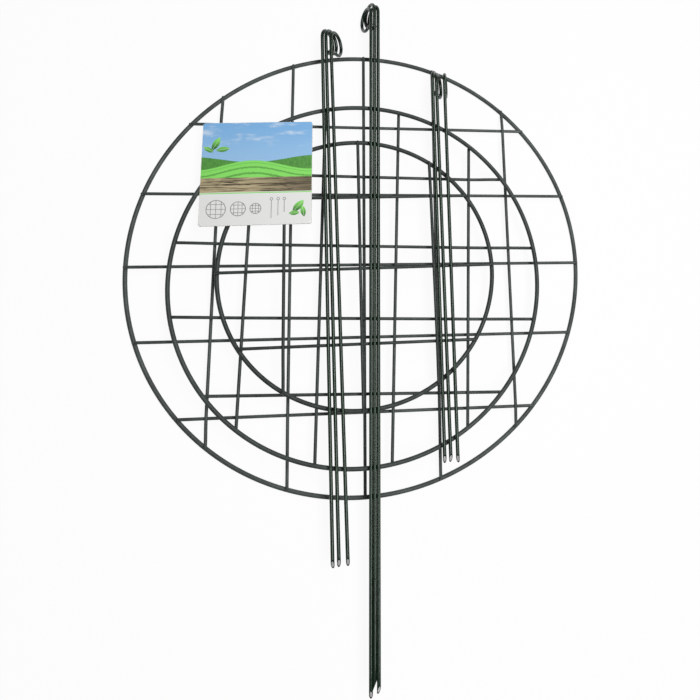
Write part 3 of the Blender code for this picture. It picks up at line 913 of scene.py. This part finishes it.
def end_rings(form, start, heading, steps, radii):
    """Rings across a leg's end, each at its step along the heading and with its own radius."""
    middles = start + steps[:, None] * heading
    return round_rings(middles, radii, form["normal"], WIRE_SIDES, np.tile(heading, (len(middles), 1)))


def make_leg_coat(name, form, material):
    """The plastic coat: the outer skin, a rounded lip at both ends and a short way into the bore."""
    sizes = settings("sizes")
    outer, bore = sizes.leg_diameter / 2, sizes.steel_diameter / 2
    arc, shaft = leg_route(form)
    route = np.vstack([arc, shaft[:-1]])
    body = round_rings(route, np.full(len(route), outer), form["normal"], WIRE_SIDES)
    eye_radii = np.array([bore, bore, outer - LIP, outer - LIP_ROUND])
    eye_steps = np.array([EYE_BORE, 0.0, 0.0, LIP_ROUND])
    eye_end = end_rings(form, arc[0], unit(arc[1] - arc[0]), eye_steps, eye_radii)
    tip_radii = np.array([outer, outer - LIP_ROUND, outer - LIP, bore, bore])
    tip_steps = np.array([-LIP_LEAD, -LIP_ROUND, 0.0, 0.0, -TIP_BORE])
    tip_end = end_rings(form, form["base"], -form["heading"], tip_steps, tip_radii)
    rings = np.vstack([eye_end, body[1:], cut_rings(tip_end, form)])
    outside = skin(rings, lengths_along(rings.mean(1)), around_places(outer, WIRE_SIDES))
    piece = make_piece(name + "_coating", [outside], [material])
    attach(piece, name)
    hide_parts(name + "_coat", name + "_eye_coat")


def make_leg_steel(name, form, material):
    """The steel that shows at the eye's end and in the slanted cut, as two short plugs in the coat's bore."""
    radius = settings("sizes").steel_diameter / 2 - STEEL_CLEARANCE
    arc, _ = leg_route(form)
    eye_end = end_rings(form, arc[0], unit(arc[0] - arc[1]), EYE_STEEL, radius * STEEL_WIDTHS)
    tip_end = end_rings(form, form["base"], -form["heading"], TIP_STEEL, radius * STEEL_WIDTHS)
    plugs = [skin(rings, lengths_along(rings.mean(1)), around_places(radius, WIRE_SIDES))
             for rings in (eye_end, cut_rings(tip_end, form))]
    piece = make_piece(name + "_steel", plugs, [material])
    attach(piece, name)
    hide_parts(name + "_core")


class PLANTSUPPORT_OT_legs(bpy.types.Operator):
    """Makes the nine legs: plastic coats, and the steel that shows at their ends."""

    bl_idname = "plant_supports.make_legs"
    bl_label = "Legs"

    def execute(self, context):
        coat = ready_coating("leg")
        steel = steel_material()
        for bundle in BUNDLES:
            for number in (1, 2, 3):
                name = f"{bundle}_leg_{number}"
                form = leg_form(name + "_core")
                make_leg_coat(name, form, coat)
                make_leg_steel(name, form, steel)
        return {"FINISHED"}


def card_seat():
    """Middle, axes and size of the card: its axes from its outermost corners in three diagonal directions,
    and its middle and size from the spread of all its corners along them.
    """
    points = node_points("label_card")
    ways = ((1, 1), (-1, 1), (-1, -1))
    right_top, left_top, left_low = [points[np.argmax(points[:, :2] @ way)] for way in ways]
    across = unit(right_top - left_top)
    normal = unit(np.cross(across, left_top - left_low))
    normal = normal * np.sign(normal[2])
    upward = np.cross(normal, across)
    axes = np.stack([across, upward, normal])
    spread = points @ axes.T
    low, high = spread.min(0), spread.max(0)
    return (low + high) / 2 @ axes, axes, high - low


def card_outline(half):
    """Quarter circles round the four inner corners, each followed by the straight side to the next."""
    turns = np.linspace(0, pi / 2, 12)
    outline = []
    quarters = (((1, 1), (-1, 0)), ((-1, 1), (0, -1)), ((-1, -1), (1, 0)), ((1, -1), (0, 1)))
    for quarter, (corner, heading) in enumerate(quarters):
        angle = turns + quarter * pi / 2
        arc = corner * half + CARD_CORNER * np.stack([np.cos(angle), np.sin(angle)], 1)
        side = np.linspace(0, 2 * half[quarter % 2], 14)[1:-1, None]
        outline += [arc, arc[-1] + side * heading]
    return np.vstack(outline)


def make_card_body(face, board):
    """A thin board with round corners.

    Rings shrink from its outline to the middle on both sides, and the long middle of the board rises by a
    slight bow, as one less the square of its share.
    """
    middle, axes, size = card_seat()
    half = size[:2] / 2 - CARD_CORNER
    outline = card_outline(half)
    thick = size[2] / 2 - CARD_BOW
    shares = (*CARD_RINGS, 1 - CARD_EDGE / half[0])
    rings = []
    for level in (1, -1):
        side = [np.c_[outline * share, np.full(len(outline), level * thick)] for share in shares]
        side.append(np.c_[outline, np.full(len(outline), level * (thick - CARD_EDGE))])
        rings += side[::level]
    rings = np.array(rings)
    from_middle = rings[..., 0] / (size[0] / 2)
    rings[..., 2] += CARD_BOW * (1 - from_middle ** 2) * 2 - CARD_BOW
    points, faces, _, bands = skin(rings, np.arange(float(len(rings))), np.arange(len(outline) + 1.0))
    faces = [corners[::-1] for corners in faces]
    places = points[np.concatenate(faces)][:, :2] / size[:2] + 0.5
    piece = make_piece("label_card_printed", [(middle + points @ axes, faces, places, bands)], [face, board],
                       lambda band: np.where(band < len(shares), 0, 1))
    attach(piece, "card")
    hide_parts("label_card")


class PLANTSUPPORT_OT_card(bpy.types.Operator):
    """Makes the label card with its print."""

    bl_idname = "plant_supports.make_card"
    bl_label = "Label Card"

    def execute(self, context):
        make_card_body(card_face_material(), card_board_material())
        return {"FINISHED"}


def add_lamp(name, power, place, width, length):
    """A soft lamp, level and long in Y, that tilts sideways to shine on the middle of the set."""
    lamp = bpy.data.lights.new(name, "AREA")
    lamp.energy = power
    lamp.shape = "RECTANGLE"
    lamp.size = width
    lamp.size_y = length
    stand = show(name, lamp)
    stand.location = place
    stand.rotation_euler = (0.0, atan2(place[0], place[2]), 0.0)


def make_floor():
    """A level grid of square cells just under the set."""
    lines = np.linspace(-1.0, 1.0, FLOOR_CELLS + 1) * FLOOR_REACH
    x, y = np.meshgrid(lines, lines)
    points = np.stack([x, y, 0 * x + FLOOR_LEVEL], -1).reshape(-1, 3)
    cells = np.arange(FLOOR_CELLS)
    corner = (cells[:, None] * len(lines) + cells).ravel()
    above = corner + len(lines)
    mesh = bpy.data.meshes.new("floor")
    mesh.from_pydata(points, [], np.stack([corner, corner + 1, above + 1, above], 1).tolist())
    mesh.materials.append(floor_material())
    floor = show("floor", mesh)


def make_surround(scene, strength):
    """A world that lights the set faintly, and that the camera sees as white."""
    world = bpy.data.worlds.new("pale_surround")
    scene.world = world
    world.use_nodes = True
    rays = world.node_tree.nodes.new("ShaderNodeLightPath").outputs
    seen = most(rays["Is Camera Ray"], rays["Is Transmission Ray"])
    mixed = node_for("Mix", seen)
    for place, value in ((0, seen), (2, strength), (3, 1.0)):
        feed(mixed.inputs[place], value)
    background = world.node_tree.nodes["Background"].inputs
    background["Color"].default_value = WHITE
    feed(background["Strength"], mixed.outputs[0])


def make_camera(scene, stage):
    """The camera of the picture, with its lens shift."""
    lens = bpy.data.cameras.new("picture_camera")
    lens.lens = stage.focal_length
    lens.sensor_width = 36.0
    lens.shift_x = stage.shift_x
    lens.shift_y = stage.shift_y
    lens.clip_start = 0.01
    camera = show("picture_camera", lens)
    camera.location = stage.camera_place
    camera.rotation_euler = stage.camera_turn
    scene.camera = camera


class PLANTSUPPORT_OT_stage(bpy.types.Operator):
    """Sets up the pale floor, the soft lamps and the camera of the picture."""

    bl_idname = "plant_supports.make_stage"
    bl_label = "Stage"

    def execute(self, context):
        stage = settings("stage")
        make_floor()
        add_lamp("key_lamp", stage.key_power, **KEY_LAMP)
        add_lamp("fill_lamp", stage.fill_power, **FILL_LAMP)
        make_surround(context.scene, stage.sky_strength)
        context.scene.view_settings.view_transform = "Standard"
        make_camera(context.scene, stage)
        return {"FINISHED"}


class PLANTSUPPORT_PT_panel(bpy.types.Panel):
    """Lists the pieces and their sizes and colours."""

    bl_idname = "PLANTSUPPORT_PT_panel"
    bl_label = "Plant Supports"
    bl_space_type = "VIEW_3D"
    bl_region_type = "UI"
    bl_category = "Plant Supports"

    def draw(self, context):
        column = self.layout.column(align=True)
        for operator in OPERATORS:
            column.operator(operator.bl_idname)
        for part, group in GROUPS.items():
            box = self.layout.box()
            box.label(text=part.title())
            for name in group.__annotations__:
                box.prop(settings(part), name)


OPERATORS = (PLANTSUPPORT_OT_hoops, PLANTSUPPORT_OT_legs, PLANTSUPPORT_OT_card, PLANTSUPPORT_OT_stage)
GROUPS = {"sizes": PlantSupportSizes, "finishes": PlantSupportFinishes, "print": PlantSupportPrint,
          "stage": PlantSupportStage}


def register():
    for item in (*GROUPS.values(), *OPERATORS, PLANTSUPPORT_PT_panel):
        bpy.utils.register_class(item)
    for part, group in GROUPS.items():
        setattr(bpy.types.Scene, "plant_support_" + part, PointerProperty(type=group))


def unregister():
    for part in GROUPS:
        delattr(bpy.types.Scene, "plant_support_" + part)
    for item in (PLANTSUPPORT_PT_panel, *OPERATORS, *GROUPS.values()):
        bpy.utils.unregister_class(item)


def main():
    register()
    bpy.ops.plant_supports.make_hoops()
    bpy.ops.plant_supports.make_legs()
    bpy.ops.plant_supports.make_card()
    bpy.ops.plant_supports.make_stage()


if __name__ == "__main__":
    main()
